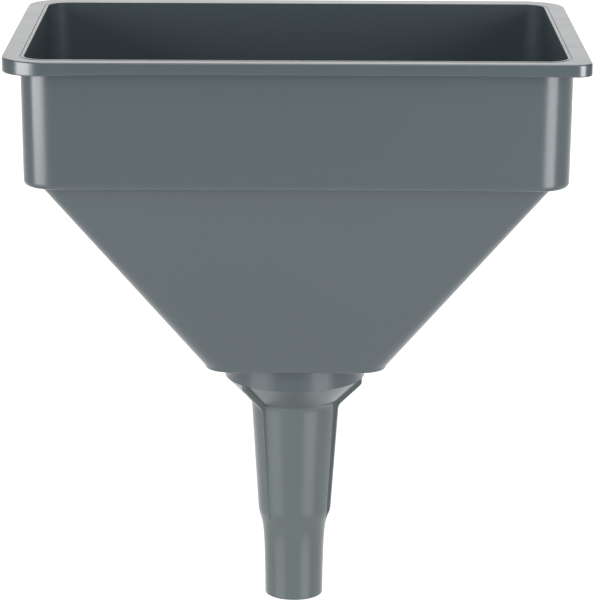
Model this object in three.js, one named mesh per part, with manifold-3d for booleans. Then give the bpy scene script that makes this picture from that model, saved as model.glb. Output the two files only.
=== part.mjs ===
// Rectangular filling funnel for tractors and fuel tanks: a wide moulded hopper, a ribbed spout
// spin-welded into the hopper's round collar, and a drop-in strainer that rests in that collar.
// Millimetres, +Z up. The origin is the middle of the spout's lower end, and the long sides of the
// hopper face -Y and +Y.
import * as THREE from "three";
import { ParametricGeometry } from "three/addons/geometries/ParametricGeometry.js";
import { mergeVertices } from "three/addons/utils/BufferGeometryUtils.js";
import Module from "manifold-3d";

const wasm = await Module();
wasm.setup();

// ---- Driving dimensions ----
const WALL = 2; // moulded wall of every plastic piece
const GAP = 0.3; // clearance between pieces that touch

const RIM_WIDTH = 275; // across the rim, along X
const RIM_DEPTH = 190; // across the rim, along Y
const RIM_TOP = 290.8; // overall height
const RIM_CORNER = 15; // plan radius of the rim's outer edge
const RIM_FLANGE = 10.7; // rim edge to the mouth
const RIM_LIP = 5.5; // height of the turned-down edge
const RIM_EDGE = 1.4; // rounding of the rim's upper edge
const BEAD_WIDTH = 1.5; // raised bead round the mouth
const BEAD_HEIGHT = 0.4;
const BEAD_SLOPE = 0.3;

const MOUTH_CORNER = 12; // plan radius of the mouth
const WALL_INSET = 8.1; // rim edge to the outside of the upright wall
const WALL_CORNER = 16;
const WALL_BOTTOM = 228.2; // underside of the ledge
const WALL_DRAFT = 0.8; // the wall leans in by this much over its height
const LEDGE_FILLET = 2.6;
const LEDGE_INSET = 16.5; // rim edge to the top of the sloping sides
const LEDGE_INNER_SHIFT = 1.2; // how far the ledge's inner edge sits inside its outer one
const SLOPE_TOP_CORNER = 7;

const FLOOR_HALF = 44.4; // half of the square floor, outside
const FLOOR_CORNER = 12;
const FLOOR_BOTTOM = 128.1;
const FLOOR_EDGE = 1; // bevel round the floor's underside
const FLOOR_COVE = 1; // bevel where the floor meets the sloping sides, inside
const SKIRT = 2; // short upright edge round the floor
const COLLAR_RADIUS = 35;
const COLLAR_WALL = 2.2;
const COLLAR_BOTTOM = 116;
const COLLAR_FILLET = 1;

const NECK_RADIUS = 21.7; // where the 45 degree flare meets the spout
const SHOULDER_TOP = 44.9; // lower end of the long taper
const SHOULDER_RADIUS = 18.1;
const SHOULDER_MIDDLE = 39.5;
const SHOULDER_MIDDLE_RADIUS = 16.6;
const SHOULDER_BOTTOM = 33;
const NOZZLE_TOP_RADIUS = 15.6;
const NOZZLE_RADIUS = 14.6; // outside of the spout's lower end
const NOZZLE_EDGE = 0.6;
const SPIGOT_TOP = 122; // the spout's upper end, inside the collar

const RIB_COUNT = 3;
const RIB_TURN = 13.4; // degrees from the +Y side to the first rib, towards -X
const RIB_THICKNESS = 2;
const RIB_FLARE_DEPTH = 2.9; // height of the rib's upright outer end
const RIB_SPOUT_DEPTH = 1.25; // how far it stands off the spout
const RIB_ROOT = 1; // how far it reaches into the wall
const RIB_TOP_DROP = 0.2; // the rib starts this far below the top of the flare, inside its edge
const RIB_CHAMFER_TOP = 1; // the rib's lower end slants in, from this far below the long taper
const RIB_FOOT = 5; // down to here

const STRAINER_RADIUS = 32.4;
const STRAINER_HEIGHT = 5;
const STRAINER_MESH_RADIUS = 27; // clear radius of the gauze
const GAUZE_RADIUS = 29.6;
const GAUZE_THICKNESS = 0.6;
const CLAMP_RADIUS = 30;
const CLAMP_THICKNESS = 1.6;
const CLAMP_BEVEL = 0.5;
const SPOKE_COUNT = 3;
const SPOKE_WIDTH = 2.4;
const SPOKE_DEPTH = 1.8;
const SPOKE_REACH = 1; // how far a spoke runs into the frame's ring
const HUB_RADIUS = 5;
const STEM_RADIUS = 2.6; // stem that lifts the strainer out
const KNOB_RADIUS = 5;
const KNOB_CENTRE = 144.5;
const KNOB_LATITUDES = [-40, -15, 10, 35, 60]; // degrees, where the round knob has its facets

const CORNER_STEPS = 8; // facets in a quarter turn of a plan corner
const TURN_STEPS = 48; // facets in a full turn
const ARC_STEPS = 3; // facets in a small rounding of a profile

// ---- Materials ----
const plastic = new THREE.MeshStandardMaterial({ color: 0x646c71, roughness: 0.42, metalness: 0 });
const strainerPlastic = new THREE.MeshStandardMaterial({ color: 0x3a3f43, roughness: 0.5, metalness: 0 });
const brass = new THREE.MeshStandardMaterial({ color: 0xb08d4c, roughness: 0.35, metalness: 1 });

// ---- Helpers ----
// A rounded-rectangle ring: half sizes in plan, the plan radius and the height.
const rectangle = (halfX, halfY, radius, z) => ({ halfX, halfY, radius, z, round: false });

// A circular ring.
const circle = (radius, z) => ({ halfX: radius, halfY: radius, radius, z, round: true });

// A ring of the rim's outline moved inwards.
const inset = (distance, radius, z) =>
  rectangle(RIM_WIDTH / 2 - distance, RIM_DEPTH / 2 - distance, radius, z);

// A point of a ring. Every ring has the same number of points, so rings of either kind join up.
function ringPoint(ring, index, target) {
  const perCorner = CORNER_STEPS + 1;
  const corner = Math.floor(index / perCorner) % 4;
  const step = index % perCorner;
  const share = ring.round ? (step + 0.5) / perCorner : step / CORNER_STEPS;
  const angle = ((corner + share) * Math.PI) / 2;
  const signX = corner === 0 || corner === 3 ? 1 : -1;
  const signY = corner < 2 ? 1 : -1;
  target.set(
    signX * (ring.halfX - ring.radius) + ring.radius * Math.cos(angle),
    signY * (ring.halfY - ring.radius) + ring.radius * Math.sin(angle),
    ring.z,
  );
}

// A closed shell through a closed loop of rings.
function loft(rings) {
  const around = 4 * (CORNER_STEPS + 1);
  const place = (u, v, target) =>
    ringPoint(rings[Math.round(u * rings.length) % rings.length], Math.round((1 - v) * around), target);
  return new ParametricGeometry(place, rings.length, around);
}

// A turned piece from a closed profile of [radius, height] pairs, listed upwards on the outside.
function turned(profile) {
  const points = [...profile, profile[0]].map(([r, z]) => new THREE.Vector2(r, z));
  return new THREE.LatheGeometry(points, TURN_STEPS).rotateX(Math.PI / 2);
}

// An upright plate whose outline is given as [radius, height] pairs, in the plane of an azimuth.
function radialPlate(outline, thickness, degrees) {
  const shape = new THREE.Shape(outline.map(([r, z]) => new THREE.Vector2(r, z)));
  const plate = new THREE.ExtrudeGeometry(shape, { depth: thickness, bevelEnabled: false });
  plate.translate(0, 0, -thickness / 2);
  plate.rotateX(Math.PI / 2);
  return plate.rotateZ(THREE.MathUtils.degToRad(degrees));
}

// Points of a quarter-round rounding between two directions, given in degrees.
function arc(centreR, centreZ, radius, fromDegrees, toDegrees) {
  return Array.from({ length: ARC_STEPS + 1 }, (_, i) => {
    const angle = THREE.MathUtils.degToRad(fromDegrees + ((toDegrees - fromDegrees) * i) / ARC_STEPS);
    return [centreR + radius * Math.cos(angle), centreZ + radius * Math.sin(angle)];
  });
}

// A geometry as a manifold-3d solid, and back.
function solid(geometry) {
  const bare = geometry.clone();
  bare.deleteAttribute("normal");
  bare.deleteAttribute("uv");
  const merged = mergeVertices(bare, 1e-4);
  return new wasm.Manifold(
    new wasm.Mesh({
      numProp: 3,
      vertProperties: merged.attributes.position.array,
      triVerts: new Uint32Array(merged.index.array),
    }),
  );
}

function geometryOf(made) {
  const mesh = made.getMesh();
  const geometry = new THREE.BufferGeometry();
  geometry.setAttribute("position", new THREE.BufferAttribute(mesh.vertProperties, 3));
  geometry.setIndex(new THREE.BufferAttribute(mesh.triVerts, 1));
  geometry.computeVertexNormals();
  return geometry;
}

const part = new THREE.Group();

function addPiece(name, geometry, material) {
  const mesh = new THREE.Mesh(geometry, material);
  mesh.name = name;
  part.add(mesh);
}

// ---- Hopper ----
// One moulding: rim, upright wall, ledge, sloping sides, square floor and round collar. The rings
// run up the inside of the turned-down edge, over the rim, down the inside and back up outside.
function hopper() {
  const flangeTop = RIM_TOP - BEAD_HEIGHT;
  const lipBottom = flangeTop - RIM_LIP;
  const ledgeTop = WALL_BOTTOM + WALL;
  const slopeX = RIM_WIDTH / 2 - LEDGE_INSET;
  const slopeY = RIM_DEPTH / 2 - LEDGE_INSET;
  const slopeCorner = SLOPE_TOP_CORNER - LEDGE_INNER_SHIFT;
  const floorInner = FLOOR_HALF - WALL;
  const floorFlat = FLOOR_HALF - FLOOR_EDGE;
  const collarInner = COLLAR_RADIUS - COLLAR_WALL;

  const rim = [
    inset(WALL, RIM_CORNER - WALL, lipBottom),
    inset(0, RIM_CORNER, lipBottom),
    ...arc(0, 0, RIM_EDGE, 180, 90).map(([r, z]) => {
      const distance = r + RIM_EDGE;
      return inset(distance, RIM_CORNER - distance, flangeTop - RIM_EDGE + z);
    }),
    inset(RIM_FLANGE - BEAD_WIDTH - BEAD_SLOPE, MOUTH_CORNER + BEAD_WIDTH + BEAD_SLOPE, flangeTop),
    inset(RIM_FLANGE - BEAD_WIDTH, MOUTH_CORNER + BEAD_WIDTH, RIM_TOP),
    inset(RIM_FLANGE, MOUTH_CORNER, RIM_TOP),
  ];
  const inside = [
    inset(WALL_INSET + WALL + WALL_DRAFT, WALL_CORNER - WALL, ledgeTop + LEDGE_FILLET),
    inset(WALL_INSET + WALL + WALL_DRAFT + LEDGE_FILLET, WALL_CORNER - WALL - LEDGE_FILLET, ledgeTop),
    rectangle(slopeX - LEDGE_INNER_SHIFT, slopeY - LEDGE_INNER_SHIFT, slopeCorner, ledgeTop),
    rectangle(floorInner, floorInner, FLOOR_CORNER - WALL, FLOOR_BOTTOM + WALL + FLOOR_COVE),
    rectangle(floorInner - FLOOR_COVE, floorInner - FLOOR_COVE, FLOOR_CORNER - WALL, FLOOR_BOTTOM + WALL),
    circle(collarInner + COLLAR_FILLET, FLOOR_BOTTOM + WALL),
    circle(collarInner, FLOOR_BOTTOM + WALL - COLLAR_FILLET),
    circle(collarInner, COLLAR_BOTTOM),
  ];
  const outside = [
    circle(COLLAR_RADIUS, COLLAR_BOTTOM),
    circle(COLLAR_RADIUS, FLOOR_BOTTOM - COLLAR_FILLET),
    circle(COLLAR_RADIUS + COLLAR_FILLET, FLOOR_BOTTOM),
    rectangle(floorFlat, floorFlat, FLOOR_CORNER - FLOOR_EDGE, FLOOR_BOTTOM),
    rectangle(FLOOR_HALF, FLOOR_HALF, FLOOR_CORNER, FLOOR_BOTTOM + FLOOR_EDGE),
    rectangle(FLOOR_HALF, FLOOR_HALF, FLOOR_CORNER, FLOOR_BOTTOM + SKIRT),
    rectangle(slopeX, slopeY, SLOPE_TOP_CORNER, WALL_BOTTOM),
    ...arc(0, 0, LEDGE_FILLET, 270, 180).map(([r, z]) => {
      const distance = WALL_INSET + WALL_DRAFT + LEDGE_FILLET + r;
      return inset(distance, WALL_CORNER - (LEDGE_FILLET + r), WALL_BOTTOM + LEDGE_FILLET + z);
    }),
    inset(WALL_INSET, WALL_CORNER, flangeTop - WALL),
    inset(WALL, RIM_CORNER - WALL, flangeTop - WALL),
  ];
  return loft([...rim, ...inside, ...outside]);
}

// ---- Spout ----
// One moulding: spigot, 45 degree flare, long taper, shoulder and nozzle, with three upright ribs
// outside that hold it off the wall of a filler neck, so that air gets out.
function spout() {
  const flareTop = COLLAR_BOTTOM - GAP;
  const flareBottom = flareTop - (COLLAR_RADIUS - NECK_RADIUS);
  const spigotOuter = COLLAR_RADIUS - COLLAR_WALL - GAP;
  const spigotInner = spigotOuter - WALL;
  const flareInnerTop = flareTop - (COLLAR_RADIUS - spigotInner) + WALL * Math.SQRT2;
  const bendLift = WALL * (Math.SQRT2 - 1); // keeps the wall thickness round the 45 degree bend
  const body = turned([
    [NOZZLE_RADIUS - NOZZLE_EDGE, 0],
    [NOZZLE_RADIUS, NOZZLE_EDGE],
    [NOZZLE_TOP_RADIUS, SHOULDER_BOTTOM],
    [SHOULDER_MIDDLE_RADIUS, SHOULDER_MIDDLE],
    [SHOULDER_RADIUS, SHOULDER_TOP],
    [NECK_RADIUS, flareBottom],
    [COLLAR_RADIUS, flareTop],
    [spigotOuter, flareTop],
    [spigotOuter, SPIGOT_TOP],
    [spigotInner, SPIGOT_TOP],
    [spigotInner, flareInnerTop],
    [NECK_RADIUS - WALL, flareBottom + bendLift],
    [SHOULDER_RADIUS - WALL, SHOULDER_TOP],
    [NOZZLE_TOP_RADIUS - WALL, SHOULDER_BOTTOM],
    [NOZZLE_RADIUS - WALL, 0],
  ]);
  const ribFoot = SHOULDER_TOP - RIB_FOOT;
  const ribCrook = NECK_RADIUS + RIB_SPOUT_DEPTH;
  const outline = [
    [COLLAR_RADIUS, flareTop],
    [COLLAR_RADIUS - 2 * RIB_ROOT, flareTop - RIB_TOP_DROP],
    [NECK_RADIUS - RIB_ROOT, flareBottom + RIB_ROOT],
    [SHOULDER_RADIUS - RIB_ROOT, SHOULDER_TOP],
    [SHOULDER_MIDDLE_RADIUS - RIB_ROOT, ribFoot],
    [SHOULDER_MIDDLE_RADIUS, ribFoot],
    [SHOULDER_RADIUS + RIB_SPOUT_DEPTH, SHOULDER_TOP - RIB_CHAMFER_TOP],
    [ribCrook, flareTop - RIB_FLARE_DEPTH - (COLLAR_RADIUS - ribCrook)],
    [COLLAR_RADIUS, flareTop - RIB_FLARE_DEPTH],
  ];
  let made = solid(body);
  for (let i = 0; i < RIB_COUNT; i += 1) {
    const azimuth = 90 + RIB_TURN + (i * 360) / RIB_COUNT;
    made = made.add(solid(radialPlate(outline, RIB_THICKNESS, azimuth)));
  }
  return geometryOf(made);
}

// ---- Strainer ----
// A moulded frame with spokes and a lifting knob, a disc of brass wire gauze, and a snap ring that
// holds the gauze down on the frame.
const strainerBottom = SPIGOT_TOP + GAP;
const gauzeBottom = strainerBottom + SPOKE_DEPTH + GAP;

function strainerFrame() {
  const rebate = strainerBottom + SPOKE_DEPTH;
  const ring = turned([
    [STRAINER_MESH_RADIUS, strainerBottom],
    [STRAINER_RADIUS, strainerBottom],
    [STRAINER_RADIUS, strainerBottom + STRAINER_HEIGHT],
    [CLAMP_RADIUS + GAP, strainerBottom + STRAINER_HEIGHT],
    [CLAMP_RADIUS + GAP, rebate],
    [STRAINER_MESH_RADIUS, rebate],
  ]);
  const knob = new THREE.LatheGeometry(
    [
      [0, strainerBottom],
      [HUB_RADIUS, strainerBottom],
      [HUB_RADIUS, rebate],
      [STEM_RADIUS, rebate],
      [STEM_RADIUS, KNOB_CENTRE - (3 / 4) * KNOB_RADIUS],
      ...KNOB_LATITUDES.map((degrees) => {
        const angle = THREE.MathUtils.degToRad(degrees);
        return [KNOB_RADIUS * Math.cos(angle), KNOB_CENTRE + KNOB_RADIUS * Math.sin(angle)];
      }),
      [0, KNOB_CENTRE + KNOB_RADIUS],
    ].map(([r, z]) => new THREE.Vector2(r, z)),
    TURN_STEPS / 2,
  ).rotateX(Math.PI / 2);
  let made = solid(ring).add(solid(knob));
  for (let i = 0; i < SPOKE_COUNT; i += 1) {
    const length = STRAINER_MESH_RADIUS + SPOKE_REACH - HUB_RADIUS / 2;
    const spoke = new THREE.BoxGeometry(length, SPOKE_WIDTH, SPOKE_DEPTH);
    spoke.translate(HUB_RADIUS / 2 + length / 2, 0, strainerBottom + SPOKE_DEPTH / 2);
    spoke.rotateZ((2 * Math.PI * i) / SPOKE_COUNT);
    made = made.add(solid(spoke));
  }
  return geometryOf(made);
}

function strainerGauze() {
  return turned([
    [STEM_RADIUS + GAP, gauzeBottom],
    [GAUZE_RADIUS, gauzeBottom],
    [GAUZE_RADIUS, gauzeBottom + GAUZE_THICKNESS],
    [STEM_RADIUS + GAP, gauzeBottom + GAUZE_THICKNESS],
  ]);
}

function strainerClampRing() {
  const bottom = gauzeBottom + GAUZE_THICKNESS + GAP;
  return turned([
    [STRAINER_MESH_RADIUS, bottom],
    [CLAMP_RADIUS, bottom],
    [CLAMP_RADIUS, bottom + CLAMP_THICKNESS],
    [STRAINER_MESH_RADIUS + CLAMP_BEVEL, bottom + CLAMP_THICKNESS],
    [STRAINER_MESH_RADIUS, bottom + CLAMP_THICKNESS - CLAMP_BEVEL],
  ]);
}

addPiece("hopper", hopper(), plastic);
addPiece("spout", spout(), plastic);
addPiece("strainer_frame", strainerFrame(), strainerPlastic);
addPiece("strainer_gauze", strainerGauze(), brass);
addPiece("strainer_clamp_ring", strainerClampRing(), strainerPlastic);

export default part;
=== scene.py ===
"""The looks of the filling funnel: fine meshes for its mouldings and gauze, moulded-plastic and brass
materials, and a pale studio. Metres, +Z up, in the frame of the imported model."""
import math

import bpy
import numpy as np
from mathutils import Matrix, Vector


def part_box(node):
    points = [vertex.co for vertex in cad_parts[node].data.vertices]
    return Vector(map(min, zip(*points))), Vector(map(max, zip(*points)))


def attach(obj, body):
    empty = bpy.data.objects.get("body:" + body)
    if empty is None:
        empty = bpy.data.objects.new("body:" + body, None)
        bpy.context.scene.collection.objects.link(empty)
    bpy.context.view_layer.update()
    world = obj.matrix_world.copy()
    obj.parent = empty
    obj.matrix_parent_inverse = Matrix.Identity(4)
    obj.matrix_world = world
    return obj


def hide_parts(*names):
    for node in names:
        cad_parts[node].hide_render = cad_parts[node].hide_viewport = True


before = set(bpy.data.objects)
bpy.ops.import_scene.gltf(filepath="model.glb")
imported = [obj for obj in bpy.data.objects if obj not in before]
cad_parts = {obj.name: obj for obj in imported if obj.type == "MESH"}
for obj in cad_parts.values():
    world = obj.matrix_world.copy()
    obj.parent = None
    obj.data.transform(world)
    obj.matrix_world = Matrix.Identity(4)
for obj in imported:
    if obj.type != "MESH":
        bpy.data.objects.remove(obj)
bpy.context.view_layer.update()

MM = 0.001

# ---- Places and sizes, from the boxes of the CAD nodes where they can be ----
HOPPER_LOW, HOPPER_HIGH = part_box("hopper")
SPOUT_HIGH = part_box("spout")[1]
FRAME_LOW, FRAME_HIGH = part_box("strainer_frame")
GAUZE_LOW, GAUZE_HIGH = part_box("strainer_gauze")
CLAMP_LOW, CLAMP_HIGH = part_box("strainer_clamp_ring")

WALL = 2 * MM
RIM_X = HOPPER_HIGH.x
RIM_Y = HOPPER_HIGH.y
RIM_TOP = HOPPER_HIGH.z
COLLAR_BOTTOM = HOPPER_LOW.z
COLLAR_RADIUS = 35 * MM
COLLAR_INNER = COLLAR_RADIUS - 2.2 * MM
SEAM = 0.02 * MM  # gap between the hopper's collar and the spout
SPIGOT_TOP = SPOUT_HIGH.z
SPIGOT_RADIUS = COLLAR_INNER - 0.3 * MM
NECK_RADIUS = 21.7 * MM
SHOULDER_RADIUS = 18.1 * MM
SHOULDER_TOP = 44.9 * MM
SHOULDER_BOTTOM = 33 * MM
NOZZLE_RADIUS = 14.6 * MM

RIB_AZIMUTHS = [103.4, 223.4, 343.4]  # degrees from the X axis
RIB_HALF = 1 * MM  # half of a rib's thickness
RIB_FLARE_DEPTH = 2.9 * MM
RIB_SPOUT_DEPTH = 1.25 * MM
RIB_FOOT = 5 * MM  # a rib ends this far below the long taper

STRAINER_OPEN = 27 * MM  # clear radius of the strainer
SPOKE_DEPTH = 1.8 * MM

# ---- Camera ----
CAMERA_PLACE = (1.0 * MM, -1519.8 * MM, RIM_TOP + 252.3 * MM)
CAMERA_DIP = 14.365  # degrees below the horizon
CAMERA_ROLL = 0.253  # degrees
CAMERA_LENS = 189.9  # millimetres
CAMERA_SENSOR = 36  # millimetres wide
CAMERA_NEAR = 0.05
CAMERA_FAR = 200


def make_camera():
    data = bpy.data.cameras.new("camera")
    data.sensor_fit = "HORIZONTAL"
    data.sensor_width = CAMERA_SENSOR
    data.lens = CAMERA_LENS
    data.clip_start = CAMERA_NEAR
    data.clip_end = CAMERA_FAR
    camera = bpy.data.objects.new("camera", data)
    bpy.context.scene.collection.objects.link(camera)
    dip = Matrix.Rotation(math.radians(90 - CAMERA_DIP), 4, "X")
    roll = Matrix.Rotation(math.radians(CAMERA_ROLL), 4, "Z")
    camera.matrix_world = Matrix.Translation(CAMERA_PLACE) @ dip @ roll
    bpy.context.scene.camera = camera


# ---- Mesh helpers ----
CORNER_STEPS = 20  # facets of a quarter turn of a plan corner
SIDE_STEPS = 14  # facets along each straight side
FILLET_STEPS = 6
SHARP_ANGLE = 40  # degrees; edges that turn by more than this are shaded sharp
TINY = 1e-9  # shorter lengths count as none
SAME_PLACE = 1e-7  # points closer than this are one
RIM_CORNER_EXTRA = [5 * MM, 5 * MM, 6 * MM, -7.5 * MM]  # over the nominal radius, from +X +Y round


def add_mesh(name, points, faces, material):
    """A smooth piece, with its sharp edges left sharp."""
    mesh = bpy.data.meshes.new(name)
    mesh.from_pydata([tuple(p) for p in points], [], faces)
    mesh.polygons.foreach_set("use_smooth", [True] * len(mesh.polygons))
    mesh.set_sharp_from_angle(angle=math.radians(SHARP_ANGLE))
    mesh.materials.append(material)
    mesh.update()
    piece = bpy.data.objects.new(name, mesh)
    bpy.context.scene.collection.objects.link(piece)
    return piece


def rounded(stations, closed=True):
    """The polyline through the stations, each a tuple of numbers and then its fillet, with the corners
    rounded. The fillet is how far the rounding reaches along each leg."""
    count = len(stations)
    dense = []
    for i, station in enumerate(stations):
        here, fillet = np.array(station[:-1], float), station[-1]
        if fillet <= 0 or (not closed and i in (0, count - 1)):
            dense.append(here)
            continue
        before = np.array(stations[i - 1][:-1], float) - here
        after = np.array(stations[(i + 1) % count][:-1], float) - here
        start = here + before * min(fillet / leg_length(before), 0.5)
        end = here + after * min(fillet / leg_length(after), 0.5)
        for step in range(FILLET_STEPS + 1):
            t = step / FILLET_STEPS
            dense.append((1 - t) ** 2 * start + 2 * t * (1 - t) * here + t * t * end)
    kept = dense[:1]
    for point, previous in zip(dense[1:], dense):
        if not np.allclose(point, previous, atol=SAME_PLACE):
            kept.append(point)
    return kept


def leg_length(leg):
    """How long a leg between two stations is, by its first number and its last, which is the height."""
    return max(math.hypot(leg[0], leg[-1]), TINY)


def ring_points(half_x, half_y, radius, spread, shift_x, shift_y):
    """The plan points of a rounded rectangle, or of a circle where radius equals both half sizes. The
    spread is how much of the rim's uneven corners it has, and the shift is where its middle is."""
    is_round = abs(half_x - radius) < TINY and abs(half_y - radius) < TINY
    per_quarter = CORNER_STEPS + 1 + SIDE_STEPS
    points = []
    for corner in range(4):
        sign_x = 1 if corner in (0, 3) else -1
        sign_y = 1 if corner < 2 else -1
        for step in range(per_quarter):
            if is_round:
                turned = (step - CORNER_STEPS / 2) / per_quarter
                angle = (corner + 0.5 + turned) * math.pi / 2
                points.append((radius * math.cos(angle), radius * math.sin(angle)))
                continue
            corner_radius = radius + spread * RIM_CORNER_EXTRA[corner]
            angle = (corner + min(step / CORNER_STEPS, 1)) * math.pi / 2
            x = sign_x * (half_x - corner_radius) + corner_radius * math.cos(angle)
            y = sign_y * (half_y - corner_radius) + corner_radius * math.sin(angle)
            next_radius = radius + spread * RIM_CORNER_EXTRA[(corner + 1) % 4]
            share = max(step - CORNER_STEPS, 0) / (SIDE_STEPS + 1)
            if corner % 2 == 0:
                x -= sign_x * share * (2 * half_x - corner_radius - next_radius)
            else:
                y -= sign_y * share * (2 * half_y - corner_radius - next_radius)
            points.append((x, y))
    return [(x + shift_x, y + shift_y) for x, y in points]


def lofted(name, stations, material):
    """A closed shell through rings given as the numbers of ring_points, a height and a fillet."""
    rings = rounded(stations)
    points = []
    for *plan, height in rings:
        points.extend((x, y, height) for x, y in ring_points(*plan))
    return add_mesh(name, points, grid_faces(len(rings), len(points) // len(rings)), material)


def grid_faces(rows, columns, closed=True):
    """Faces of a grid of rows by columns. Each row joins up with itself and, if closed, the last with
    the first. They face out where the rows run up the outside of a turned shape, and each row goes
    round it anticlockwise as seen from above."""
    faces = []
    for i in range(rows if closed else rows - 1):
        j = (i + 1) % rows
        for k in range(columns):
            m = (k + 1) % columns
            faces.append((i * columns + k, i * columns + m, j * columns + m, j * columns + k))
    return faces


# ---- Materials ----
HOPPER_GREY = (0.0288, 0.0380, 0.0424)
SPOUT_GREY = (0.0380, 0.0485, 0.0500)
STRAINER_GREY = (0.045, 0.050, 0.055)
BRIGHT_BRASS = (0.60, 0.42, 0.17)
TARNISHED_BRASS = (0.44, 0.29, 0.11)
BRASS_ROUGHNESS = (0.25, 0.45)
COLOUR_SPREAD = 0.05
GLOSS_SPREAD = 0.04
CLOUD_SCALE = 9  # patterns per metre, as are the other scales
GLOSS_SCALE = 60
TARNISH_SCALE = 120
GRAIN_SCALE = 1400
GRAIN_DEPTH = 0.05 * MM


def node_material(name):
    material = bpy.data.materials.new(name)
    material.use_nodes = True
    nodes = material.node_tree.nodes
    shader = nodes["Principled BSDF"]
    return material, nodes, material.node_tree.links, shader


def noise(nodes, links, scale, detail):
    """A cloudy pattern that stays with the object, as a socket."""
    place = nodes.new("ShaderNodeTexCoord")
    pattern = nodes.new("ShaderNodeTexNoise")
    pattern.inputs["Scale"].default_value = scale
    pattern.inputs["Detail"].default_value = detail
    links.new(place.outputs["Object"], pattern.inputs["Vector"])
    return pattern.outputs["Fac"]


def mottle(nodes, links, shader, pattern, first, second):
    """Varies the colour between two by the pattern."""
    tint = nodes.new("ShaderNodeMixRGB")
    tint.inputs["Color1"].default_value = (*first, 1)
    tint.inputs["Color2"].default_value = (*second, 1)
    links.new(pattern, tint.inputs["Fac"])
    links.new(tint.outputs["Color"], shader.inputs["Base Color"])


def uneven_gloss(nodes, links, shader, pattern, smoothest, roughest):
    """Varies the roughness between two by the pattern."""
    spread = nodes.new("ShaderNodeMapRange")
    spread.inputs["To Min"].default_value = smoothest
    spread.inputs["To Max"].default_value = roughest
    links.new(pattern, spread.inputs["Value"])
    links.new(spread.outputs["Result"], shader.inputs["Roughness"])


def moulded_plastic(name, colour, roughness, grain, specular=0.5):
    """Satin moulded polyethylene: faint cloudy colour, a fine skin grain and uneven gloss."""
    material, nodes, links, shader = node_material(name)
    cloud = noise(nodes, links, CLOUD_SCALE, detail=5)
    darker = [c * (1 - COLOUR_SPREAD) for c in colour]
    lighter = [c * (1 + COLOUR_SPREAD) for c in colour]
    mottle(nodes, links, shader, cloud, darker, lighter)
    bump = nodes.new("ShaderNodeBump")
    bump.inputs["Strength"].default_value = grain
    bump.inputs["Distance"].default_value = GRAIN_DEPTH
    links.new(noise(nodes, links, GRAIN_SCALE, detail=3), bump.inputs["Height"])
    links.new(bump.outputs["Normal"], shader.inputs["Normal"])
    gloss = noise(nodes, links, GLOSS_SCALE, detail=6)
    uneven_gloss(nodes, links, shader, gloss, roughness - GLOSS_SPREAD, roughness + GLOSS_SPREAD)
    shader.inputs["Specular IOR Level"].default_value = specular
    return material


def brass_wire(name):
    """Drawn brass wire with uneven tarnish."""
    material, nodes, links, shader = node_material(name)
    tarnish = noise(nodes, links, TARNISH_SCALE, detail=4)
    mottle(nodes, links, shader, tarnish, BRIGHT_BRASS, TARNISHED_BRASS)
    uneven_gloss(nodes, links, shader, tarnish, *BRASS_ROUGHNESS)
    shader.inputs["Metallic"].default_value = 1
    return material


# ---- Hopper ----
LIP_SAGS = [(-1, 15 * MM, 1.6 * MM), (1, 0.0, 0.5 * MM)]  # side, how far behind its corner, depth
LIP_SAG_REACH = 24 * MM
MOUTH_MIDDLE = Vector((0, 0, RIM_TOP - 6 * MM))
FACING_DEPTH = 5 * MM  # the mouth's middle is more than this in front of each face of the inside


def lip_sag(x, y):
    """How much deeper the turned-down edge is near the two front corners."""
    sag = 0.0
    for side, behind, depth in LIP_SAGS:
        away = math.hypot(x - side * RIM_X, y + RIM_Y - behind) / LIP_SAG_REACH
        sag += depth * math.exp(-away * away / 2)
    return sag


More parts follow.
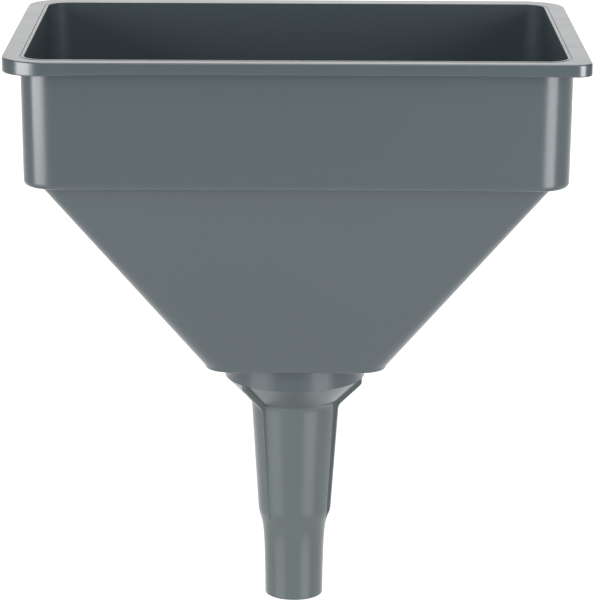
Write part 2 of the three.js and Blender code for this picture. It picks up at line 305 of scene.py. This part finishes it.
def hopper(skin, core_skin):
    """The skin is the glossy outside, and the core skin the duller inside, shaped by the mould's core.
    Each ring below ends with its height and then its fillet, if it has one."""
    flange = 10.7 * MM
    flange_top = RIM_TOP - 0.4 * MM
    lip_bottom = flange_top - 5.5 * MM
    rim_corner = 15 * MM
    rim_fillet = 1 * MM
    mouth_corner = 10 * MM
    mouth_forward = 2 * MM  # the mouth sits this far in front of the rim's middle
    bead = 1.3 * MM
    bead_top = flange_top + 0.12 * MM
    bead_fillet = 0.2 * MM
    groove_low = flange_top - 0.1 * MM
    groove_fillet = 0.1 * MM
    wall_inset = 7.8 * MM
    wall_draft = 0.8 * MM
    wall_corner = 16 * MM
    ledge_low = COLLAR_BOTTOM + 112.2 * MM
    ledge_top = ledge_low + WALL
    ledge_fillet = 2.7 * MM
    slope_corner = 7 * MM
    slope_inset = 16.2 * MM
    slope_step = 1.2 * MM  # the inside of the slope starts this far in from its outside
    floor_low = COLLAR_BOTTOM + 12.1 * MM
    floor_top = floor_low + WALL
    floor_half = 44 * MM
    floor_corner = 11.5 * MM
    skirt_top = floor_low + 2 * MM
    skirt_half = 45 * MM
    band = 2 * MM  # width of the floor's innermost stretch, which is round like the collar
    drift = 0.5 * MM  # the wall sits this far off the rim's middle

    def inset(distance, radius, height, fillet=0.0, spread=0.0, shift=(drift, 0.0)):
        return (RIM_X - distance, RIM_Y - distance, radius, spread, *shift, height, fillet)

    def square(half, radius, height, fillet=0.0):
        return (half, half, radius, 0.0, drift, 0.0, height, fillet)

    def circle(radius, height, fillet=0.0):
        return (radius, radius, radius, 0.0, 0.0, 0.0, height, fillet)

    def edge(distance, height, fillet):
        """A ring at a distance inside the rim's outline."""
        return inset(distance, rim_corner - distance, height, fillet, 1.0, (0.0, 0.0))

    def mouth(distance, height, fillet):
        """A ring at a distance outside the mouth's edge."""
        forward = (0.0, -mouth_forward)
        return inset(flange - distance, mouth_corner + distance, height, fillet, 0.0, forward)

    rim = [
        edge(WALL, lip_bottom, 0.3 * MM),
        edge(0, lip_bottom, 0.6 * MM),
        edge(0, flange_top, rim_fillet),
        edge(rim_fillet + 0.2 * MM, flange_top, 0.0),
        mouth(bead + 0.9 * MM, flange_top, 0.0),
        mouth(bead + 0.7 * MM, flange_top, groove_fillet),
        mouth(bead + 0.5 * MM, groove_low, groove_fillet),
        mouth(bead + 0.3 * MM, groove_low, groove_fillet),
        mouth(bead, bead_top, bead_fillet),
        mouth(bead - 2 * bead_fillet, bead_top, 0.0),
        mouth(2 * bead_fillet, bead_top, 0.0),
        mouth(0, bead_top, bead_fillet),
    ]
    inner = wall_inset + WALL + wall_draft
    inside = [
        inset(inner, wall_corner - WALL, ledge_top, 3.0 * MM),
        inset(slope_inset + slope_step, slope_corner - slope_step, ledge_top, 1.5 * MM),
        square(floor_half - WALL, floor_corner - WALL, floor_top, 2.0 * MM),
        circle(COLLAR_INNER + band, floor_top),
        circle(COLLAR_INNER, floor_top, 1.0 * MM),
        circle(COLLAR_INNER, COLLAR_BOTTOM, 0.2 * MM),
    ]
    outside = [
        circle(COLLAR_RADIUS, COLLAR_BOTTOM, 0.06 * MM),
        circle(COLLAR_RADIUS, floor_low, 1.2 * MM),
        circle(COLLAR_RADIUS + band, floor_low),
        square(floor_half, floor_corner, floor_low, 0.6 * MM),
        square(skirt_half, floor_corner + 1 * MM, skirt_top, 0.8 * MM),
        inset(slope_inset, slope_corner, ledge_low, 1.0 * MM),
        inset(wall_inset + wall_draft, wall_corner, ledge_low, ledge_fillet),
        inset(wall_inset, wall_corner, flange_top - WALL, 0.8 * MM),
        edge(WALL, flange_top - WALL, 0.5 * MM),
    ]
    piece = lofted("hopper_shell", rim + inside + outside, skin)
    clear_of_wall = wall_corner + 1.5 * MM
    for vertex in piece.data.vertices:
        x, y, z = vertex.co
        down = (flange_top - z) / (flange_top - lip_bottom)  # from 0 at the flange to 1 at the lip
        over_x = max(abs(x) - (RIM_X - wall_inset - wall_corner), 0)
        over_y = max(abs(y) - (RIM_Y - wall_inset - wall_corner), 0)
        if math.hypot(over_x, over_y) > clear_of_wall and down > 0:
            vertex.co.z -= down * lip_sag(x, y)
    piece.data.materials.append(core_skin)
    for face in piece.data.polygons:
        if face.normal.dot(MOUTH_MIDDLE - face.center) > FACING_DEPTH:
            face.material_index = 1
    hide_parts("hopper")
    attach(piece, "funnel")


# ---- Spout ----
SHOULDER_CURVE = [
    (16.4 * MM, 38.8 * MM, 0.3 * MM),
    (15.75 * MM, 35.2 * MM, 2.0 * MM),
    (15.15 * MM, 27.4 * MM, 3.0 * MM),
    (14.75 * MM, 13 * MM, 3.0 * MM),
]  # radius, height and fillet, from under the long taper down to the nozzle
RIB_COLUMNS = [
    (1.45, 0.0), (1.22, 0.02), (1.06, 0.1), (1.01, 0.3),
    (1.0, 0.75), (0.94, 0.93), (0.8, 1.0), (0.4, 1.0),
]  # across half a rib: the distance from its middle in half thicknesses, and the share of its depth
GAP_STEPS = 40  # facets between two ribs
RIB_PITCH = math.radians(360 / len(RIB_AZIMUTHS))


def along(line, high, low, steps):
    """Evenly spaced points between two heights of a line of (radius, height) points that runs down,
    without the last."""
    radii = [p[0] for p in line]
    heights = [p[1] for p in line]
    inner = [p for p in line if low < p[1] < high]
    ends = [(float(np.interp(-z, [-h for h in heights], radii)), z) for z in (high, low)]
    path = np.array([ends[0], *inner, ends[1]])
    length = np.concatenate([[0], np.cumsum(np.linalg.norm(np.diff(path, axis=0), axis=1))])
    places = np.linspace(0, length[-1], steps, endpoint=False)
    return list(zip(np.interp(places, length, path[:, 0]), np.interp(places, length, path[:, 1])))


def spout_columns():
    """Each column as (the rib it belongs to, or None; where it is; its share of the rib's depth)."""
    columns = []
    for i in range(len(RIB_AZIMUTHS)):
        half = [(share * RIB_HALF, level) for share, level in RIB_COLUMNS]
        right = [(-place, level) for place, level in half]
        left = list(reversed(half))
        columns.extend((i, place, level) for place, level in [*right, (0.0, 1.0), *left])
        columns.extend((None, i + step / GAP_STEPS, 0.0) for step in range(1, GAP_STEPS))
    return columns


def spout_ring(columns, body, crest):
    """The points of one ring, whose ribs reach from the body's (radius, height) out to the crest's."""
    reach = math.asin(RIB_COLUMNS[0][0] * RIB_HALF / body[0])
    ring = []
    for rib, place, level in columns:
        radius = body[0] + level * (crest[0] - body[0])
        height = body[1] + level * (crest[1] - body[1])
        if rib is None:
            start = math.radians(RIB_AZIMUTHS[int(place)]) + reach
            angle = start + (place % 1) * (RIB_PITCH - 2 * reach)
        else:
            angle = math.radians(RIB_AZIMUTHS[rib]) + math.asin(place / radius)
        ring.append((radius * math.cos(angle), radius * math.sin(angle), height))
    return ring


def spout(material):
    """The outside comes first, as a line that runs down, with the ribs' crest beside it as far as their
    foot. Then the bore runs back up. Each point ends with its fillet."""
    top = COLLAR_BOTTOM - SEAM
    neck = top - (COLLAR_RADIUS - NECK_RADIUS)
    foot = SHOULDER_TOP - RIB_FOOT
    tip_fillet = 0.5 * MM
    outside = rounded([
        (COLLAR_RADIUS, top, 0.0),
        (NECK_RADIUS, neck, 1.6 * MM),
        (SHOULDER_RADIUS, SHOULDER_TOP, 1.5 * MM),
        *SHOULDER_CURVE,
        (NOZZLE_RADIUS, 0.0, tip_fillet),
        (NOZZLE_RADIUS - WALL, 0.0, 0.0),
    ], closed=False)
    crest_neck = NECK_RADIUS + RIB_SPOUT_DEPTH
    crook = top - RIB_FLARE_DEPTH - (COLLAR_RADIUS - crest_neck)
    crest = rounded([
        (COLLAR_RADIUS + 0.02 * MM, top, 0.0),
        (COLLAR_RADIUS, top - RIB_FLARE_DEPTH, 0.35 * MM),
        (crest_neck, crook, 2.0 * MM),
        (SHOULDER_RADIUS + 0.9 * MM, SHOULDER_TOP + 0.6 * MM, 0.6 * MM),
        (16.6 * MM, foot, 0.0),
    ], closed=False)
    sides = [p for p in outside if p[0] >= NOZZLE_RADIUS - TINY or p[1] > 2 * tip_fillet]

    # heights that cut the outside and the crest into matching stretches, and the rings in each stretch
    body_stops = [top, top - 0.45 * MM, neck + 1 * MM, neck - 3 * MM, SHOULDER_TOP + 1.5 * MM, foot]
    crest_stops = [
        top, top - RIB_FLARE_DEPTH + 0.4 * MM, crook + 1.2 * MM, crook - 2 * MM, SHOULDER_TOP, foot
    ]
    ring_counts = [6, 18, 14, 24, 14]
    columns = spout_columns()
    rings = []
    for i, count in enumerate(ring_counts):
        bodies = along(sides, body_stops[i], body_stops[i + 1], count)
        tips = along(crest, crest_stops[i], crest_stops[i + 1], count)
        rings.extend(spout_ring(columns, body, tip) for body, tip in zip(bodies, tips))

    tip_start = 0.6 * MM
    plain_count = 24
    plain = along(sides, foot, tip_start, plain_count)
    plain += [(p[0], p[1]) for p in outside if p[1] <= tip_start]
    bore = rounded([
        (NOZZLE_RADIUS - WALL, 0.0, 0.3 * MM),
        (15.6 * MM - WALL, SHOULDER_BOTTOM, 2 * MM),
        (SHOULDER_RADIUS - WALL, SHOULDER_TOP, 2 * MM),
        (NECK_RADIUS - WALL, neck + 0.8 * MM, 1.5 * MM),
        (SPIGOT_RADIUS - WALL, top - 1.3 * MM, 0.8 * MM),
        (SPIGOT_RADIUS - WALL, SPIGOT_TOP, 0.3 * MM),
        (SPIGOT_RADIUS, SPIGOT_TOP, 0.3 * MM),
        (SPIGOT_RADIUS, top, 0.0),
    ])
    plain += [(p[0], p[1]) for p in bore]
    rings.extend(spout_ring(columns, place, place) for place in plain)
    points = [point for ring in rings for point in ring]
    faces = [tuple(reversed(f)) for f in grid_faces(len(rings), len(columns))]
    piece = add_mesh("spout_moulding", points, faces, material)
    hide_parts("spout")
    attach(piece, "funnel")


# ---- Strainer ----
STRAINER_EDGE = 0.4 * MM  # fillet of its edges
SPOKE_AZIMUTHS = [0, 120, 240]  # degrees
CLAMP_OUTER = 30 * MM


def joined(name, parts, material):
    """One mesh from several closed ones given as (points, faces)."""
    points = []
    faces = []
    for part_points, part_faces in parts:
        start = len(points)
        points.extend(part_points)
        faces.extend(tuple(start + i for i in face) for face in part_faces)
    return add_mesh(name, points, faces, material)


def turned(outline, around):
    """The points of a (radius, height) outline turned about the Z axis."""
    angles = np.linspace(0, 2 * math.pi, around, endpoint=False)
    return [(r * math.cos(a), r * math.sin(a), z) for r, z in outline for a in angles]


def ring_solid(profile, around=120):
    """A ring turned about the Z axis from a closed profile of (radius, height, fillet)."""
    outline = rounded(profile)
    return turned(outline, around), grid_faces(len(outline), around)


def knob_solid(profile, around=64):
    """A piece without a bore, turned about the Z axis: the profile starts and ends on the axis."""
    outline = rounded(profile, closed=False)
    rows = len(outline) - 2
    points = turned(outline[1:-1], around)
    faces = grid_faces(rows, around, closed=False)
    last_row = (rows - 1) * around
    bottom = len(points)
    top = bottom + 1
    points.append((0, 0, outline[0][1]))
    points.append((0, 0, outline[-1][1]))
    for k in range(around):
        m = (k + 1) % around
        faces.append((bottom, m, k))
        faces.append((top, last_row + k, last_row + m))
    return points, faces


def spoke_solid(azimuth, inner, outer, half_width, low, high):
    """A radial bar with its edges rounded."""
    edge = STRAINER_EDGE
    section = rounded([
        (-half_width, low, edge),
        (half_width, low, edge),
        (half_width, high, edge),
        (-half_width, high, edge),
    ])
    turn = Matrix.Rotation(math.radians(azimuth), 4, "Z")
    count = len(section)
    points = [tuple(turn @ Vector((x, y, z))) for x in (inner, outer) for y, z in section]
    faces = [(k, count + k, count + (k + 1) % count, (k + 1) % count) for k in range(count)]
    faces.append(tuple(range(count)))
    faces.append(tuple(reversed(range(count, 2 * count))))
    return points, faces


def strainer_frame(material):
    low = FRAME_LOW.z
    rebate = low + SPOKE_DEPTH
    outer = 32.4 * MM
    inner_top = 30.3 * MM
    top = low + 5 * MM
    edge = STRAINER_EDGE
    ring = ring_solid([
        (STRAINER_OPEN, low, edge),
        (outer, low, edge),
        (outer, top, edge),
        (inner_top, top, edge),
        (inner_top, rebate, 0.0),
        (STRAINER_OPEN, rebate, edge),
    ])
    spoke_half = 1.2 * MM
    spoke_lap = 1 * MM  # how far a spoke runs into the ring
    hub = 5 * MM
    stem = 2.6 * MM
    knob = 5 * MM
    centre = FRAME_HIGH.z - knob
    stem_top = centre - 0.86 * knob
    round_knob = []  # from just over the stem to just short of the top
    for latitude in range(-55, 90, 5):
        angle = math.radians(latitude)
        round_knob.append((knob * math.cos(angle), centre + knob * math.sin(angle), 0.0))
    lift = knob_solid([
        (0, low, 0.0),
        (hub, low, edge),
        (hub, rebate, edge),
        (stem, rebate, 0.8 * MM),
        (stem, stem_top, edge),
        *round_knob,
        (0, centre + knob, 0.0),
    ])
    spokes = [
        spoke_solid(azimuth, hub / 2, STRAINER_OPEN + spoke_lap, spoke_half, low, rebate)
        for azimuth in SPOKE_AZIMUTHS
    ]
    piece = joined("strainer_frame_moulding", [ring, lift, *spokes], material)
    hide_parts("strainer_frame")
    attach(piece, "strainer")


def wire(path, radius, sides=6):
    """A round wire along a path of points, with closed ends."""
    path = [Vector(p) for p in path]
    points = []
    faces = []
    count = len(path)
    for i, here in enumerate(path):
        ahead = (path[min(i + 1, count - 1)] - path[max(i - 1, 0)]).normalized()
        side = ahead.cross(Vector((0, 0, 1))).normalized()
        up = side.cross(ahead)
        for k in range(sides):
            angle = 2 * math.pi * k / sides
            points.append(tuple(here + radius * (math.cos(angle) * side + math.sin(angle) * up)))
    for i in range(count - 1):
        for k in range(sides):
            m = (k + 1) % sides
            faces.append((i * sides + k, (i + 1) * sides + k, (i + 1) * sides + m, i * sides + m))
    faces.append(tuple(range(sides)))
    faces.append(tuple(reversed(range((count - 1) * sides, count * sides))))
    return points, faces


def strainer_gauze(material):
    """Plain-woven wire cloth, cut to a disc with a hole for the stem."""
    pitch = 1.2 * MM
    steps_per_pitch = 4
    wire_radius = 0.13 * MM
    middle = (GAUZE_LOW.z + GAUZE_HIGH.z) / 2
    lift = 0.14 * MM  # how far a wire rises and falls as it crosses the others
    outer = 29.5 * MM
    hole = 2.9 * MM
    rim_gap = 0.4 * MM  # no wire runs this close to the disc's edge
    count = int(outer / pitch)
    parts = []
    for way in (0, 1):
        for i in range(-count, count + 1):
            place = (i + 0.5) * pitch
            if abs(place) > outer - rim_gap:
                continue
            reach = math.sqrt(outer ** 2 - place ** 2)
            spans = [(-reach, reach)]
            if abs(place) < hole:
                gap = math.sqrt(hole ** 2 - place ** 2)
                spans = [(-reach, -gap), (gap, reach)]
            for start, end in spans:
                steps = max(steps_per_pitch, int((end - start) / (pitch / steps_per_pitch)))
                path = []
                for step in range(steps + 1):
                    spot = start + (end - start) * step / steps
                    rise = math.cos(math.pi * (spot / pitch - 0.5)) * (-1) ** (i + way)
                    height = middle + lift * rise
                    path.append((place, spot, height) if way else (spot, place, height))
                parts.append(wire(path, wire_radius))
    piece = joined("strainer_wire_gauze", parts, material)
    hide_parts("strainer_gauze")
    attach(piece, "strainer")


def strainer_clamp(material):
    low, high = CLAMP_LOW.z, CLAMP_HIGH.z
    edge = 0.35 * MM
    ring = ring_solid([
        (STRAINER_OPEN, low, edge),
        (CLAMP_OUTER, low, edge),
        (CLAMP_OUTER, high, edge),
        (STRAINER_OPEN, high, 0.7 * MM),
    ])
    piece = joined("strainer_clamp", [ring], material)
    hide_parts("strainer_clamp_ring")
    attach(piece, "strainer")


# ---- Studio ----
AIM_HEIGHT = 0.25  # in the hopper, where the lights from above point
FLOOR_LEVEL = -0.9
FLOOR_HALF = 12
BACKDROP_PLACE = 6
BACKDROP_TOP = 4
EDGE_GLOW = 0.3
FLOOR_GLOW = 1.1
BACKDROP_GLOW = 1.36
WORLD_GLOW = 0.25
ACRYLIC_BASE = (0.12, 0.12, 0.12, 1)  # dark, so that nearly all that shows is its own glow
SIDE_FADE = (5.0, 3.0)  # how far out, in X, the acrylic has faded, and where it starts to
FRONT_FADE = (-5.0, -3.0)  # the same in Y, on the camera's side
BOX_DISTANCE = 1.6  # from the object's axis
UPPER_BOX = (-0.21, 0.9)  # heights that a soft box spans
LOWER_BOX = (-0.85, -0.22)
UPRIGHT_BOXES = [
    # name, azimuth, heights, width, strength
    ("softbox_left", -61, UPPER_BOX, 1.02, 12.5),
    ("softbox_left_flank", -39, UPPER_BOX, 0.3, 5),
    ("softbox_right", 46, UPPER_BOX, 0.94, 14.5),
    ("softbox_right_flank", 24, UPPER_BOX, 0.3, 2),
    ("fill_left", -57, LOWER_BOX, 1.2, 1.0),
    ("fill_right", 45, LOWER_BOX, 1.0, 1.4),
]


def soft_box(name, place, turn, width, height, strength):
    """A rectangular light, with its strength as the brightness of its face."""
    data = bpy.data.lights.new(name, "AREA")
    data.shape = "RECTANGLE"
    data.size, data.size_y = width, height
    data.energy = strength * width * height * math.pi
    light = bpy.data.objects.new(name, data)
    bpy.context.scene.collection.objects.link(light)
    light.location = place
    light.rotation_euler = turn


def upright_box(name, azimuth, heights, width, strength):
    """A soft box facing the object's axis. The azimuth is in degrees from the camera's side, positive
    to the right."""
    low, high = heights
    turn = math.radians(azimuth)
    place = (BOX_DISTANCE * math.sin(turn), -BOX_DISTANCE * math.cos(turn), (low + high) / 2)
    soft_box(name, place, (math.radians(90), 0, turn), width, high - low, strength)


def overhead_box(name, place, size, strength):
    """A square soft box aimed at the hopper."""
    aim = Vector((0, 0, AIM_HEIGHT)) - Vector(place)
    soft_box(name, place, aim.to_track_quat("-Z", "Y").to_euler(), size, size, strength)


def glowing_acrylic(name, full_glow):
    """White acrylic lit from behind. It glows fully in a band behind and under the object, and fades
    towards both sides and towards the camera's side."""
    material, nodes, links, shader = node_material(name)
    place = nodes.new("ShaderNodeTexCoord")
    split = nodes.new("ShaderNodeSeparateXYZ")
    links.new(place.outputs["Object"], split.inputs["Vector"])
    side = nodes.new("ShaderNodeMath")
    side.operation = "ABSOLUTE"
    links.new(split.outputs["X"], side.inputs[0])
    fades = []
    ways = ((side.outputs["Value"], *SIDE_FADE), (split.outputs["Y"], *FRONT_FADE))
    for source, dark, bright in ways:
        fade = nodes.new("ShaderNodeMapRange")
        fade.interpolation_type = "SMOOTHSTEP"
        fade.inputs["From Min"].default_value = dark
        fade.inputs["From Max"].default_value = bright
        links.new(source, fade.inputs["Value"])
        fades.append(fade)
    both = nodes.new("ShaderNodeMath")
    both.operation = "MULTIPLY"
    links.new(fades[0].outputs["Result"], both.inputs[0])
    links.new(fades[1].outputs["Result"], both.inputs[1])
    glow = nodes.new("ShaderNodeMapRange")
    glow.inputs["To Min"].default_value = EDGE_GLOW
    glow.inputs["To Max"].default_value = full_glow
    links.new(both.outputs["Value"], glow.inputs["Value"])
    links.new(glow.outputs["Result"], shader.inputs["Emission Strength"])
    shader.inputs["Emission Color"].default_value = (1, 1, 1, 1)
    shader.inputs["Base Color"].default_value = ACRYLIC_BASE
    shader.inputs["Roughness"].default_value = 0.9
    return material


def studio():
    scene = bpy.context.scene
    scene.view_settings.view_transform = "Standard"
    world = bpy.data.worlds.new("studio")
    scene.world = world
    world.use_nodes = True
    background = world.node_tree.nodes["Background"]
    background.inputs["Color"].default_value = (1, 1, 1, 1)
    background.inputs["Strength"].default_value = WORLD_GLOW

    table = glowing_acrylic("light_table_acrylic", FLOOR_GLOW)
    screen = glowing_acrylic("backdrop_acrylic", BACKDROP_GLOW)
    half, low, back, high = FLOOR_HALF, FLOOR_LEVEL, BACKDROP_PLACE, BACKDROP_TOP
    flat = [(-half, -half, low), (half, -half, low), (half, half, low), (-half, half, low)]
    upright = [(-half, back, low), (half, back, low), (half, back, high), (-half, back, high)]
    for name, corners, acrylic in (("floor", flat, table), ("backdrop", upright, screen)):
        add_mesh(name, corners, [(0, 1, 2, 3)], acrylic)

    for settings in UPRIGHT_BOXES:
        upright_box(*settings)
    overhead_box("key_top", (0, -1.6, 1.9), size=1.4, strength=4)
    overhead_box("softbox_top", (0, 0, 2.2), size=1.2, strength=3.2)


make_camera()
grey = moulded_plastic("grey_polyethylene_skin", HOPPER_GREY, roughness=0.24, grain=0.1)
core_grey = moulded_plastic(
    "core_side_polyethylene_skin", HOPPER_GREY, roughness=0.44, grain=0.1, specular=0.1
)
spout_grey = moulded_plastic("spout_polyethylene_skin", SPOUT_GREY, roughness=0.23, grain=0.1)
dark = moulded_plastic("dark_polyethylene_skin", STRAINER_GREY, roughness=0.4, grain=0.2)
brass = brass_wire("brass_wire")
hopper(grey, core_grey)
spout(spout_grey)
strainer_frame(dark)
strainer_gauze(brass)
strainer_clamp(dark)
studio()
